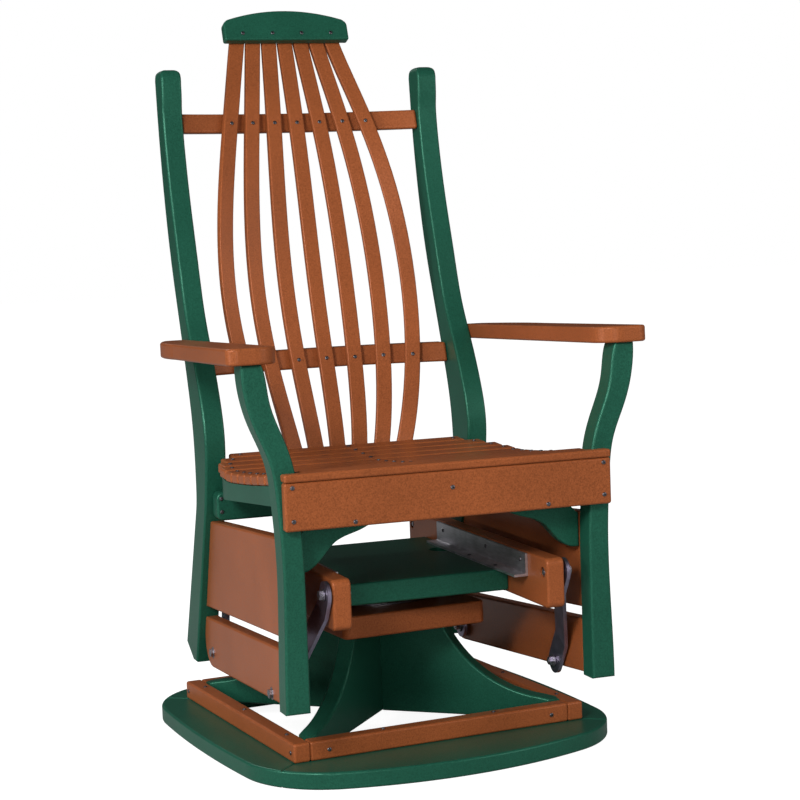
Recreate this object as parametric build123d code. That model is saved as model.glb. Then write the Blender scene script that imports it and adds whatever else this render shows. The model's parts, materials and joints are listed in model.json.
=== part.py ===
from build123d import *
import os
from math import asin, atan, atan2, cos, degrees, hypot, radians, sin, sqrt, tan

os.makedirs("parts", exist_ok=True)

# The chair faces -Y and Z points up. The origin is where the swivel axis meets the floor.
# Sizes are in millimetres and angles in degrees.

# General fits and rounding
overrun = 30  # how far cutters run past what they cut
edge_round = 4.0  # rounded edges of the thick plastic boards
thin_round = 2.5  # rounded edges of the thin slats
seam = 0.3  # gap where one piece stands against another
bolt_gap = 0.3  # radial gap round a bolt shank
running_gap = 0.05  # radial gap between a bolt and its bushing

# Base: a rounded ring of four mitred boards with a square of rails on it
base_turn = 5.0  # the base stands turned by this much under the seat
ring_thickness = 28
ring_half_width = 329
ring_half_depth = 378
ring_corner_x = 312
ring_corner_y = 300
ring_corner_radius = 160
rail_half_square = 260.5
rail_width = 28.3
rail_height = 31
rail_screw_reach = 200  # the rail screws into the pedestal feet sit this far from the middle

# Pedestal: two boards on edge that cross on the diagonals, and a board on top
pedestal_thickness = 30
foot_height = 32
foot_shoulder_reach = 296
foot_shoulder_rise = 6
waist_reach = 202
waist_rise = 72
neck_reach = 125
pedestal_height = 165
lap_gap = 0.2
top_board_half_width = 129
top_board_half_depth = 172
top_board_thickness = 38
top_board_corner = 12

# Swivel bearing: two flanged races with balls between them
bearing_height = 25
race_inner_radius = 62
race_outer_radius = 115
race_flange = 3
ball_circle_radius = 90
ball_radius = 4
ball_gap = 0.1
ball_count = 24
race_split = 3  # gap between the two race rings
race_clearance = 1.5  # gap between a race ring and the other race's flange
race_screw_radius = 112
race_screw_count = 4

# Swivel frame: a deck, two hanger boards and two aluminium angles
deck_half_width = 163
deck_front_y = -219
deck_rear_y = 170
deck_thickness = 36
deck_hole_radius = 21.5
deck_hole_inset = 27
deck_hole_y = 22
hanger_thickness = 30
hanger_drop = 5  # the hangers reach this far below the deck
hanger_height = 80
hanger_front_y = -378
hanger_end_margin = 18  # wood beyond the pivot at the rear end
hanger_corner = 10
angle_front_y = -301
angle_rear_y = 100
angle_side_leg = 37
angle_deck_leg = 24
angle_thickness = 4
angle_root_round = 3
angle_side_screw_shares = (0.05, 0.42, 0.92)
angle_deck_screw_shares = (0.244, 0.536)

# Glide arms: four flat steel bars with a sideways bend, hung from the hangers
front_pivot_y = -360
front_pivot_z = 307
front_lower_y = -250
front_lower_z = 137
rear_lower_y = 152
rear_lower_z = 124
balance_y = -17  # the lines of the arms meet below this point of the seat
arm_width = 42
arm_thickness = 6
arm_bend_start = 33
arm_bend_end = 50
arm_bend_radius = 9
arm_hole_radius = 7
bushing_proud = 0.8
open_pivot_play = 4.7  # slack of the rear lower pivots, where the linkage is opened
open_ring_wall = 3
bolt_radius = 4
head_radius = 7.5
head_height = 5.5
nut_height = 6.5
washer_radius = 10
washer_thickness = 1.9
toe_gap = 0.6  # washers stand this far off the toed-in panels
hanger_bore_radius = 9
hanger_bore_depth = 9
panel_bore_radius = 10.5
panel_bore_depth = 2
thread_end = 2

# Front legs: boards that curve outwards under the armrests
leg_front_y = -382
leg_depth = 40
leg_lane = 43  # room for the glide arms between the hangers and the legs
leg_reach = 87
leg_foot_z = 131
leg_height = 536
leg_outer_shares = ((0.448, 0), (0.402, 0.455), (0.46, 0.614), (0.55, 0.716), (0.816, 0.826),
                    (0.977, 0.929), (1, 1))
leg_inner_shares = ((0, 0.356), (0.046, 0.56), (0.115, 0.698), (0.287, 0.79), (0.506, 0.894),
                    (0.632, 1))

# Rear posts: one curved board from the low rear foot to the top of the back
post_inset = 11  # the posts stand this far inside the inner edges of the legs
post_thickness = 37
post_sweep = 350
post_foot_z = 92
post_height = 1061
post_foot_share = 0.663
post_knee_shares = (0.363, 0.2555)
post_front_shares = ((0.303, 0.328), (0.28, 0.385), (0.346, 0.46), (0.451, 0.526), (0.557, 0.587),
                     (0.657, 0.678), (0.789, 0.818), (0.846, 0.931), (0.84, 1))
post_rear_shares = ((0.991, 1), (0.966, 0.913), (0.909, 0.795), (0.817, 0.678), (0.697, 0.572),
                    (0.603, 0.49), (0.526, 0.404), (0.509, 0.318), (0.537, 0.2625))
post_heel_shares = (0.86, 0.0245)
post_sole_share = 0.729
post_top_round = 20
post_crest_round = 12

# Side panels between each front leg and rear post, toed in towards the rear
panel_thickness = 24
panel_front_offset = 26  # outer face of the panels beyond the inner edges of the legs, in front
panel_rear_offset = 14
panel_rear_y = 190
panel_slope = 4.4
upper_panel_top_z = 397
upper_panel_height = 156
lower_panel_top_z = 222
lower_panel_height = 88
lower_panel_round = 45
panel_fit_steps = 12

# Seat: a dished row of slats on three supports, with a nosing and an apron in front
seat_side_offset = 28  # the slats end this far beyond the inner edges of the legs
seat_round_y = -40
seat_round_radius = 239
seat_low_y = -50
seat_low_z = 468
seat_front_run = 330
seat_front_rise = 32
seat_rear_run = 155
seat_rear_rise = 8.5
dish_power = 1.3
slat_count = 12
slat_pitch = 40
slat_gap = 4
slat_thickness = 17
slat_bed_gap = 0.7  # room under the flat slats on the curved supports
rear_slat_y = 105
support_thickness = 30
support_overhang = 2
support_bottom_z = 417
support_level_y = -10
support_rear_y = 110
support_front_rise = 30
rear_rail_lap = 25  # the cross rail laps the posts by this much
rear_rail_depth = 30
rear_rail_height = 50
rear_rail_round = 12
rear_rail_screw_lap = 17
rear_rail_screw_rise = 11
rear_rail_screw_pitch = 23
apron_overhang = 5  # the apron runs this far past the slat ends
apron_thickness = 17
apron_bottom_z = 414
apron_top_z = 487.7
nosing_top_z = 501
nosing_thickness = 13
nosing_overhang = 2
nosing_rear_y = -357
apron_screw_offset = 20
apron_screw_high_z = 480
apron_screw_low_z = 429
apron_bracket_screw_inset = 77
apron_bracket_screw_z = 422
apron_centre_screw_z = 462
bracket_thickness = 24
bracket_height = 102
bracket_reach = 124
bracket_corner = 50  # the corner under the seat is cut off by this much
bracket_foot_z = 340
bracket_shares = ((0.85, 0.02), (0.66, 0.2), (0.49, 0.42), (0.11, 0.6), (0, 0.68))

# Armrests: broad boards on top of the front legs and along the rear posts
armrest_thickness = 26
armrest_front_z = 667
armrest_rear_z = 649
armrest_front_y = -392
armrest_outer_offset = 109  # outer front corner beyond the inner edges of the legs
armrest_taper_offset = 100
armrest_inner_offset = 26
armrest_rear_y = 205
armrest_rear_reach = 38
armrest_taper_y = -10
armrest_outer_round = 16
armrest_inner_round = 40

# Back: seven bent slats on two bowed rails, held at the top by an arched crown
back_slat_width = 28
back_slat_thickness = 12
back_slats_each_side = 3
back_bow_inset = 1
# Stations of the slats from the seat to the crown: height, middle front, fan pitch, bow
back_seat_z = 452
back_seat_y = 160
back_seat_pitch = 39
back_seat_bow = 34
lower_rail_z = 626.5
lower_rail_y = 211.8
lower_rail_pitch = 53
lower_rail_bow = 38
back_middle_z = 805
back_middle_y = 268
back_middle_pitch = 56
back_middle_bow = 44
upper_rail_z = 1056.5
upper_rail_y = 336
upper_rail_pitch = 42.9
upper_rail_bow = 49
crown_z = 1204
crown_y = 389
crown_pitch = 31
back_rail_depth = 34
back_rail_height = 35
back_rail_end_gap = 0.3
slat_seat_gap = 1.8  # room for the outer slats, which lean more than the rails
crown_half_width = 120
crown_end_height = 34
crown_corner_x = 112
crown_corner_height = 41
crown_height = 59
crown_thickness = 20
crown_slat_depth = 20
crown_round = 12
crown_screw_share = 0.22
crown_screw_x = 85
crown_inner_screw_x = 28

# Screws
screw_head_radius = 3.6
screw_head_height = 1.6
screw_radius = 1.8
screw_length = 26
screw_gap = 0.1
head_gap = 0.15

# Worked-out places
inner_square = rail_half_square - rail_width
rail_top_z = ring_thickness + rail_height
pedestal_top_z = ring_thickness + pedestal_height
top_board_top_z = pedestal_top_z + top_board_thickness
deck_z = top_board_top_z + bearing_height
deck_top_z = deck_z + deck_thickness
deck_hole_x = deck_half_width - deck_hole_inset
hanger_outer_x = deck_half_width + hanger_thickness
leg_inner_x = hanger_outer_x + leg_lane
post_inner_x = leg_inner_x - post_inset
panel_front_x = leg_inner_x + panel_front_offset
panel_rear_x = leg_inner_x + panel_rear_offset
seat_half_width = leg_inner_x + seat_side_offset
apron_half_width = seat_half_width + apron_overhang
armrest_outer_x = leg_inner_x + armrest_outer_offset
back_bow_half = post_inner_x - back_bow_inset
hanger_z = deck_z - hanger_drop
leg_rear_y = leg_front_y + leg_depth
post_outer_x = post_inner_x + post_thickness
arm_end_radius = arm_width / 2
bushing_length = arm_thickness + 2 * bushing_proud
arm_top_x = hanger_outer_x + washer_thickness + seam + bushing_length / 2
panel_toe = (panel_front_x - panel_rear_x) / (panel_rear_y - leg_rear_y)
panel_start_y = leg_rear_y + seam + panel_thickness * panel_toe
arm_length = hypot(front_lower_y - front_pivot_y, front_lower_z - front_pivot_z)
apron_rear_y = leg_front_y - seam
apron_front_y = apron_rear_y - apron_thickness


def balance_height():
    """Height at which the line of the front arms meets the balance line of the seat."""
    fall = (front_lower_z - front_pivot_z) / (front_lower_y - front_pivot_y)
    return front_lower_z + fall * (balance_y - front_lower_y)


def rear_pivot():
    """Upper rear pivot: the rear arm is as long as the front one and points at the same spot."""
    dy = rear_lower_y - balance_y
    dz = rear_lower_z - balance_height()
    reach = arm_length / hypot(dy, dz)
    return rear_lower_y + dy * reach, rear_lower_z + dz * reach


rear_pivot_y, rear_pivot_z = rear_pivot()
hanger_rear_y = rear_pivot_y + hanger_end_margin


def mirrored(solid):
    """The same piece on the other side of the chair."""
    return mirror(solid, Plane.YZ)


def side_plane(x):
    """Plane across X whose own axes are Y and Z."""
    return Plane(origin=(x, 0, 0), x_dir=(0, 1, 0), z_dir=(1, 0, 0))


def front_plane(y):
    """Plane across Y whose own axes are X and Z, and whose normal points to the front."""
    return Plane(origin=(0, y, 0), x_dir=(1, 0, 0), z_dir=(0, -1, 0))


def board(outline, thickness, rounding):
    """A board of this outline with rounded rims."""
    solid = extrude(outline, thickness)
    return fillet(solid.faces().filter_by(Axis.Z).edges(), rounding)


def bar(x_range, y_range, z_range, rounding):
    """A straight board between three pairs of limits, rounded all round."""
    size = [high - low for low, high in (x_range, y_range, z_range)]
    middle = [(high + low) / 2 for low, high in (x_range, y_range, z_range)]
    solid = Pos(*middle) * Box(*size)
    return fillet(solid.edges(), rounding)


def rod(x_range, y, z, radius):
    """A round bar along X."""
    low, high = x_range
    plane = Plane(origin=(low, y, z), x_dir=(0, 1, 0), z_dir=(1, 0, 0))
    return plane * extrude(Circle(radius), high - low)


def ring_on_x(x_range, y, z, outer_radius, inner_radius):
    """A washer or bushing whose axis runs along X."""
    low, high = x_range
    cutter = rod((low - overrun, high + overrun), y, z, inner_radius)
    return rod(x_range, y, z, outer_radius) - cutter


def hexagon_on_x(x_range, y, z, radius):
    """A hexagonal head or nut along X."""
    low, high = x_range
    plane = Plane(origin=(low, y, z), x_dir=(0, 1, 0), z_dir=(1, 0, 0))
    return plane * extrude(RegularPolygon(radius, 6), high - low)


def screw(plane):
    """A screw whose head stands on the plane and whose shank runs into it."""
    head = extrude(Circle(screw_head_radius), screw_head_height)
    head = chamfer(head.faces().sort_by(Axis.Z)[-1].edges(), screw_head_height / 2)
    shank = extrude(Circle(screw_radius), -screw_length)
    return plane * Pos(0, 0, head_gap) * (head + shank)


def screw_hole(plane):
    """The hole that a screw on this plane runs in."""
    hole = extrude(Circle(screw_radius + screw_gap), -screw_length)
    mouth = extrude(Circle(screw_radius + screw_gap), screw_head_height)
    return plane * (hole + mouth)


def drive(pieces, names, planes, screws):
    """Put a screw on every plane and drill the named pieces for it."""
    for plane in planes:
        screws.append(screw(plane))
        for name in names:
            pieces[name] = pieces[name] - screw_hole(plane)


def facing(origin, normal):
    """Plane at a point of a surface with the given outward normal."""
    return Plane(origin=origin, z_dir=normal)


# Base

def ring_boards():
    """The four mitred boards of the floor ring."""
    x, y = ring_corner_x, ring_corner_y
    outline = make_face([
        ThreePointArc((-x, -y), (0, -ring_half_depth), (x, -y)),
        ThreePointArc((x, -y), (ring_half_width, 0), (x, y)),
        ThreePointArc((x, y), (0, ring_half_depth), (-x, y)),
        ThreePointArc((-x, y), (-ring_half_width, 0), (-x, -y)),
    ])
    outline = fillet(outline.vertices(), ring_corner_radius)
    outline = outline - Rectangle(2 * inner_square, 2 * inner_square)
    stretch = (ring_half_depth + overrun - inner_square) / (y - inner_square)
    far_x = inner_square + (x - inner_square) * stretch
    far_y = inner_square + (y - inner_square) * stretch
    back_wedge = Polygon((inner_square, inner_square), (far_x, far_y), (-far_x, far_y),
                         (-inner_square, inner_square), align=None)
    front_wedge = mirror(back_wedge, Plane.XZ)
    sides = outline - back_wedge - front_wedge
    right_half = Pos(ring_half_width, 0) * Rectangle(2 * ring_half_width, 4 * ring_half_depth)
    left_half = mirror(right_half, Plane.YZ)
    return {
        "ring_board_front": board(outline & front_wedge, ring_thickness, edge_round),
        "ring_board_back": board(outline & back_wedge, ring_thickness, edge_round),
        "ring_board_left": board(sides & left_half, ring_thickness, edge_round),
        "ring_board_right": board(sides & right_half, ring_thickness, edge_round),
    }


def base_rails():
    """Square of rails on the ring; the front and back rails fit between the side rails."""
    z_range = (ring_thickness, rail_top_z)
    outer, inner = rail_half_square, inner_square
    between = (-inner, inner)
    along = (-outer, outer)
    return {
        "base_rail_front": bar(between, (-outer, -inner), z_range, edge_round),
        "base_rail_back": bar(between, (inner, outer), z_range, edge_round),
        "base_rail_left": bar((-outer, -inner), along, z_range, edge_round),
        "base_rail_right": bar((inner, outer), along, z_range, edge_round),
    }


def pedestal_board(turn, slot_up):
    """One crossed board on edge, with its pointed feet in the corners of the rails."""
    reach = inner_square * sqrt(2)
    shoulder = (foot_shoulder_reach, foot_height + foot_shoulder_rise)
    half_outline = make_face([
        Line((0, 0), (reach, 0)),
        Line((reach, 0), (reach, foot_height)),
        Line((reach, foot_height), shoulder),
        ThreePointArc(shoulder, (waist_reach, waist_rise), (neck_reach, pedestal_height)),
        Line((neck_reach, pedestal_height), (0, pedestal_height)),
        Line((0, pedestal_height), (0, 0)),
    ])
    outline = half_outline + mirror(half_outline, Plane.YZ)
    solid = Pos(0, 0, -pedestal_thickness / 2) * board(outline, pedestal_thickness, edge_round)
    slot_width = pedestal_thickness + 2 * lap_gap
    slot = Box(slot_width, pedestal_height, slot_width + overrun)
    slot_lift = pedestal_height if slot_up else 0
    solid = solid - Pos(0, slot_lift, 0) * slot
    plane = Plane(origin=(0, 0, ring_thickness), x_dir=(cos(radians(turn)), sin(radians(turn)), 0),
                  z_dir=(sin(radians(turn)), -cos(radians(turn)), 0))
    inside = 2 * (inner_square - seam)
    corner_fit = Pos(0, 0, pedestal_top_z / 2) * Box(inside, inside, pedestal_top_z + overrun)
    return plane * solid & corner_fit


def top_board():
    """Thick board that joins the pedestal to the swivel bearing."""
    outline = RectangleRounded(2 * top_board_half_width, 2 * top_board_half_depth, top_board_corner)
    return Pos(0, 0, pedestal_top_z) * board(outline, top_board_thickness, edge_round)


def tube(outer_radius, inner_radius, low, high):
    """Upright tube between two heights."""
    outline = Circle(outer_radius) - Circle(inner_radius)
    return Pos(0, 0, low) * extrude(outline, high - low)


def ball_groove():
    """Ring-shaped groove that the balls run in."""
    middle_z = top_board_top_z + bearing_height / 2
    return Pos(0, 0, middle_z) * Torus(ball_circle_radius, ball_radius + ball_gap)


def lower_race():
    """Race on the top board: a flange with the inner race ring."""
    low, high = top_board_top_z, deck_z
    ring_radius = ball_circle_radius - race_split / 2
    flange = tube(race_outer_radius, race_inner_radius, low, low + race_flange)
    ring = tube(ring_radius, race_inner_radius, low, high - race_flange - race_clearance)
    return flange + ring - ball_groove()


def upper_race():
    """Race under the deck: a flange with the outer race ring."""
    low, high = top_board_top_z, deck_z
    ring_radius = ball_circle_radius + race_split / 2
    flange = tube(race_outer_radius, race_inner_radius, high - race_flange, high)
    ring = tube(race_outer_radius - race_split * 2, ring_radius, low + race_flange + race_clearance,
                high)
    return flange + ring - ball_groove()


def bearing_balls():
    """Ring of loose balls between the races."""
    middle_z = top_board_top_z + bearing_height / 2
    places = PolarLocations(ball_circle_radius, ball_count)
    return [Pos(0, 0, middle_z) * place * Sphere(ball_radius) for place in places]


def base_pieces():
    """All pieces that stand still on the floor, before the base is turned."""
    pieces = ring_boards() | base_rails()
    pieces["pedestal_board_a"] = pedestal_board(45, True)
    pieces["pedestal_board_b"] = pedestal_board(-45, False)
    pieces["pedestal_top_board"] = top_board()
    pieces["swivel_lower_race"] = lower_race()
    pieces["swivel_bearing_balls"] = bearing_balls()
    screws = []
    mid_rail_z = ring_thickness + rail_height / 2
    for x in (-rail_screw_reach, rail_screw_reach):
        pedestal = "pedestal_board_b" if x > 0 else "pedestal_board_a"
        place = facing((x, -rail_half_square, mid_rail_z), (0, -1, 0))
        drive(pieces, ("base_rail_front", pedestal), [place], screws)
        pedestal = "pedestal_board_a" if x > 0 else "pedestal_board_b"
        place = facing((x, rail_half_square, mid_rail_z), (0, 1, 0))
        drive(pieces, ("base_rail_back", pedestal), [place], screws)
    rail_end_y = rail_half_square - rail_width / 2
    rail_quarter_y = rail_half_square * 3 / 4
    for side, name in ((-1, "left"), (1, "right")):
        face_x = side * rail_half_square
        rail = "base_rail_" + name
        for y, end in ((-rail_end_y, "front"), (rail_end_y, "back")):
            place = facing((face_x, y, mid_rail_z), (side, 0, 0))
            drive(pieces, (rail, "base_rail_" + end), [place], screws)
        top_x = side * rail_end_y
        tops = [facing((top_x, y, rail_top_z), (0, 0, 1)) for y in (-rail_quarter_y, 0, rail_quarter_y)]
        drive(pieces, (rail, "ring_board_" + name), tops, screws)
    for y, name in ((-rail_end_y, "front"), (rail_end_y, "back")):
        tops = [facing((x, y, rail_top_z), (0, 0, 1)) for x in (-rail_screw_reach / 2, rail_screw_reach / 2)]
        drive(pieces, ("base_rail_" + name, "ring_board_" + name), tops, screws)
    pieces["base_screws"] = screws
    return pieces


# Swivel frame

def deck():
    """Board on the swivel bearing that the hangers are fixed to."""
    solid = bar((-deck_half_width, deck_half_width), (deck_front_y, deck_rear_y),
                (deck_z, deck_top_z), edge_round)
    hole = Pos(deck_hole_x, deck_hole_y, deck_z) * Cylinder(deck_hole_radius, 4 * deck_thickness)
    return solid - hole


def hanger():
    """Right board on edge beside the deck; the glide arms hang from its outer face."""
    length = hanger_rear_y - hanger_front_y
    middle_y = (hanger_rear_y + hanger_front_y) / 2
    middle_z = hanger_z + hanger_height / 2
    outline = Pos(middle_y, middle_z) * RectangleRounded(length, hanger_height, hanger_corner)
    solid = side_plane(deck_half_width) * board(outline, hanger_thickness, edge_round)
    for y, z in ((front_pivot_y, front_pivot_z), (rear_pivot_y, rear_pivot_z)):
        low = deck_half_width - overrun
        solid = solid - rod((low, hanger_outer_x + overrun), y, z, bolt_radius + bolt_gap)
        solid = solid - rod((low, deck_half_width + hanger_bore_depth), y, z, hanger_bore_radius)
    return solid


def angle():
    """Right aluminium angle that ties the hanger to the deck."""
    x, z = deck_half_width - seam, deck_top_z + seam
    leg, foot, wall = angle_side_leg, angle_deck_leg, angle_thickness
    outline = Polygon((x, z), (x, z + leg), (x - wall, z + leg), (x - wall, z + wall),
                      (x - foot, z + wall), (x - foot, z), align=None)
    root = outline.vertices().sort_by_distance((x - wall, z + wall, 0))[0]
    outline = fillet(root, angle_root_round)
    return front_plane(angle_rear_y) * extrude(outline, angle_rear_y - angle_front_y)


def upper_pivot_hardware():
    """Bolts, washers and nuts of the four upper pivots."""
    parts = []
    for y, z in ((front_pivot_y, front_pivot_z), (rear_pivot_y, rear_pivot_z)):
        washer_end = hanger_outer_x + washer_thickness
        head_low = washer_end + 2 * seam + bushing_length + washer_thickness
        nut_high = deck_half_width + hanger_bore_depth
        nut_low = nut_high - nut_height
        shank = rod((nut_low - thread_end, head_low), y, z, bolt_radius)
        bolt = shank + hexagon_on_x((head_low, head_low + head_height), y, z, head_radius)
        inner = bolt_radius + running_gap
        nut = hexagon_on_x((nut_low, nut_high), y, z, head_radius)
        nut = nut - rod((nut_low - overrun, nut_high + overrun), y, z, inner)
        first = ring_on_x((hanger_outer_x, washer_end), y, z, washer_radius, inner)
        second = ring_on_x((head_low - washer_thickness, head_low), y, z, washer_radius, inner)
        parts += [bolt, nut, first, second]
    return parts + [mirrored(part) for part in parts]


def swivel_frame_pieces():
    """All pieces that turn on the base and carry the glide arms."""
    pieces = {"swivel_upper_race": upper_race(), "swivel_deck": deck()}
    right = hanger()
    pieces["hanger_right"] = right
    pieces["hanger_left"] = mirrored(right)
    right = angle()
    pieces["angle_right"] = right
    pieces["angle_left"] = mirrored(right)
    screws = []
    run = angle_rear_y - angle_front_y
    for side, name in ((-1, "left"), (1, "right")):
        wall_x = side * (deck_half_width - seam - angle_thickness)
        wall_z = deck_top_z + seam + angle_side_leg * 2 / 3
        places = [facing((wall_x, angle_front_y + share * run, wall_z), (-side, 0, 0))
                  for share in angle_side_screw_shares]
        drive(pieces, ("angle_" + name, "hanger_" + name), places, screws)
        foot_x = side * (deck_half_width - seam - angle_deck_leg * 2 / 3)
        foot_z = deck_top_z + seam + angle_thickness
        places = [facing((foot_x, angle_front_y + share * run, foot_z), (0, 0, 1))
                  for share in angle_deck_screw_shares]
        drive(pieces, ("angle_" + name, "swivel_deck"), places, screws)
    pieces["frame_screws"] = screws
    pieces["upper_pivot_bolts"] = upper_pivot_hardware()
    return pieces


# Glide arms

def panel_inner_x(y):
    """Where the toed-in inner face of a side panel stands at this depth."""
    return panel_front_x - panel_thickness - panel_toe * (y - panel_start_y)


def arm_low_x(y):
    """Middle of the arm beside the panel at a lower pivot."""
    return panel_inner_x(y) - toe_gap - washer_thickness - seam - bushing_length / 2


def arm(top, low):
    """Right arm from the upper pivot to the lower one, bent sideways to the side panel."""
    dy, dz = (low[0] - top[0]) / arm_length, (low[1] - top[1]) / arm_length
    low_x = arm_low_x(low[0])
    half_wall = arm_thickness / 2
    bend_end = arm_length - arm_bend_end
    line = ((-arm_width, arm_top_x), (arm_bend_start, arm_top_x), (bend_end, low_x),
            (arm_length + arm_width, low_x))
    outline = Polygon(*[(u, x - half_wall) for u, x in line],
                      *[(u, x + half_wall) for u, x in reversed(line)], align=None)
    bends = outline.vertices().filter_by_position(Axis.X, 0, arm_length)
    outline = fillet(bends, arm_bend_radius)
    flat = Plane(origin=(0, top[0], top[1]), x_dir=(0, dy, dz), z_dir=(0, dz, -dy))
    strip = flat * Pos(0, 0, -arm_end_radius) * extrude(outline, arm_width)
    stadium = Pos(arm_length / 2, 0) * SlotCenterToCenter(arm_length, arm_width)
    side = Plane(origin=(0, top[0], top[1]), x_dir=(0, dy, dz), z_dir=(1, 0, 0))
    return strip & side * extrude(stadium, panel_front_x)


def arm_pieces(front):
    """Right arm and its two bushings; the rear one has a wide ring at the opened pivot."""
    if front:
        top, low = (front_pivot_y, front_pivot_z), (front_lower_y, front_lower_z)
        low_bore, low_outer = bolt_radius + running_gap, arm_hole_radius
    else:
        top, low = (rear_pivot_y, rear_pivot_z), (rear_lower_y, rear_lower_z)
        low_bore = bolt_radius + open_pivot_play
        low_outer = low_bore + open_ring_wall
    solid = arm(top, low)
    half_length = bushing_length / 2
    low_x = arm_low_x(low[0])
    top_range = (arm_top_x - half_length, arm_top_x + half_length)
    low_range = (low_x - half_length, low_x + half_length)
    solid = solid - rod((0, panel_front_x), *top, arm_hole_radius)
    solid = solid - rod((0, panel_front_x), *low, low_outer)
    bushings = [ring_on_x(top_range, *top, arm_hole_radius, bolt_radius + running_gap),
                ring_on_x(low_range, *low, low_outer, low_bore)]
    return solid, bushings


# Seat body

def armrest_plane():
    """Underside of the armrests, sloping down to the rear."""
    slope = (armrest_front_z - armrest_rear_z) / (armrest_rear_y - armrest_front_y)
    return Pos(0, armrest_front_y, armrest_front_z) * Rot(-degrees(atan(slope)), 0, 0)


def leg():
    """Right front leg, seen from the front as an S that leans outwards."""
    def place(shares):
        return [(leg_inner_x + leg_reach * x, leg_foot_z + leg_height * z) for x, z in shares]
    outer, inner = place(leg_outer_shares), place(leg_inner_shares)
    toe = (leg_inner_x, leg_foot_z)
    outline = make_face([
        Line(toe, outer[0]),
        Spline(*outer),
        Line(outer[-1], inner[-1]),
        Spline(*reversed(inner), tangents=((-0.5, -1), (0, -1))),
        Line(inner[0], toe),
    ])
    solid = front_plane(leg_rear_y) * board(outline, leg_depth, edge_round)
    above = Pos(0, 0, -seam) * Box(2 * armrest_outer_x, 2 * post_sweep, leg_depth,
                                   align=(Align.CENTER, Align.CENTER, Align.MIN))
    return solid - armrest_plane() * above


def post_place(shares):
    """A point of the post's side outline from its shares."""
    return post_sweep * shares[0], post_foot_z + post_height * shares[1]


def post_front_y(z):
    """Front edge of the straight lower part of the post at this height."""
    knee_y, knee_z = post_place(post_knee_shares)
    toe_y = post_sweep * post_foot_share
    return toe_y + (knee_y - toe_y) * (z - post_foot_z) / (knee_z - post_foot_z)


def post():
    """Right rear post in one piece from the foot to the top."""
    toe = post_place((post_foot_share, 0))
    knee = post_place(post_knee_shares)
    heel = post_place(post_heel_shares)
    sole = post_place((post_sole_share, 0))
    front = [knee] + [post_place(shares) for shares in post_front_shares]
    rear = [post_place(shares) for shares in post_rear_shares]
    rise = (knee[0] - toe[0], knee[1] - toe[1])
    fall = (heel[0] - rear[-1][0], heel[1] - rear[-1][1])
    outline = make_face([
        Line(toe, knee),
        Spline(*front, tangents=(rise, (0.05, 1))),
        Line(front[-1], rear[0]),
        Spline(*rear, tangents=((-0.08, -1), fall)),
        Line(rear[-1], heel),
        Line(heel, sole),
        Line(sole, toe),
    ])
    outline = fillet(outline.vertices().sort_by(Axis.Y)[-2:], post_top_round)
    solid = side_plane(post_inner_x) * board(outline, post_thickness, edge_round)
    height = post_height + overrun
    middle = ((post_inner_x + post_outer_x) / 2, post_foot_z + post_height - height / 2)
    crest = Pos(*middle) * RectangleRounded(post_thickness, height, post_crest_round)
    return solid & front_plane(post_sweep + overrun) * extrude(crest, 2 * post_sweep)


def panel(top_z, height, low_round):
    """Right side panel between the leg and the post, with its foot edge rounded at the rear."""
    slope = tan(radians(panel_slope))
    front = panel_start_y

    def rear_end(front_z):
        """Where a sloping edge meets the raked post."""
        y = front
        for _ in range(panel_fit_steps):
            z = front_z - slope * (y - front)
            y = post_front_y(z) - 2 * seam
        return y, front_z - slope * (y - front)
    high, low = rear_end(top_z), rear_end(top_z - height)
    outline = Polygon((front, top_z), (front, top_z - height), low, high, align=None)
    outline = make_face(outline.edges())
    if low_round:
        corner = outline.vertices().sort_by_distance((*low, 0))[0]
        outline = fillet(corner, low_round)
    solid = board(outline, panel_thickness, edge_round)
    turned = Plane(origin=(panel_front_x, front, 0), x_dir=(-panel_toe, 1, 0), z_dir=(1, panel_toe, 0))
    return turned * Pos(-front, 0, -panel_thickness) * solid


def lower_bolt_span(y):
    """X limits of the outer washer, the head and the nut of a lower pivot bolt."""
    bed = panel_inner_x(y) + panel_thickness - panel_bore_depth
    washer = (bed, bed + washer_thickness)
    head = (washer[1], washer[1] + head_height)
    inner_face = arm_low_x(y) - bushing_length / 2 - seam
    nut = (inner_face - washer_thickness - nut_height, inner_face - washer_thickness)
    return washer, head, nut


def lower_pivot_hardware():
    """Bolts, washers and nuts of the four lower pivots."""
    parts = []
    for y, z in ((front_lower_y, front_lower_z), (rear_lower_y, rear_lower_z)):
        washer, head, nut = lower_bolt_span(y)
        bolt = rod((nut[0] - thread_end, head[0]), y, z, bolt_radius)
        bolt = bolt + hexagon_on_x(head, y, z, head_radius)
        inner = bolt_radius + running_gap
        nut_solid = hexagon_on_x(nut, y, z, head_radius)
        nut_solid = nut_solid - rod((nut[0] - overrun, nut[1] + overrun), y, z, inner)
        low_washer = ring_on_x((nut[1], nut[1] + washer_thickness), y, z, washer_radius, inner)
        start = arm_low_x(y) + bushing_length / 2 + seam
        high_washer = ring_on_x((start, start + washer_thickness), y, z, washer_radius, inner)
        outer_washer = ring_on_x(washer, y, z, washer_radius, inner)
        parts += [bolt, nut_solid, low_washer, high_washer, outer_washer]
    return parts + [mirrored(part) for part in parts]


def panel_with_bores(solid):
    """Counterbored bolt holes of the lower panel."""
    for y, z in ((front_lower_y, front_lower_z), (rear_lower_y, rear_lower_z)):
        outer = panel_inner_x(y) + panel_thickness
        solid = solid - rod((outer - panel_front_x / 2, outer + overrun), y, z, bolt_radius + bolt_gap)
        solid = solid - rod((outer - panel_bore_depth, outer + overrun), y, z, panel_bore_radius)
    return solid


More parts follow.
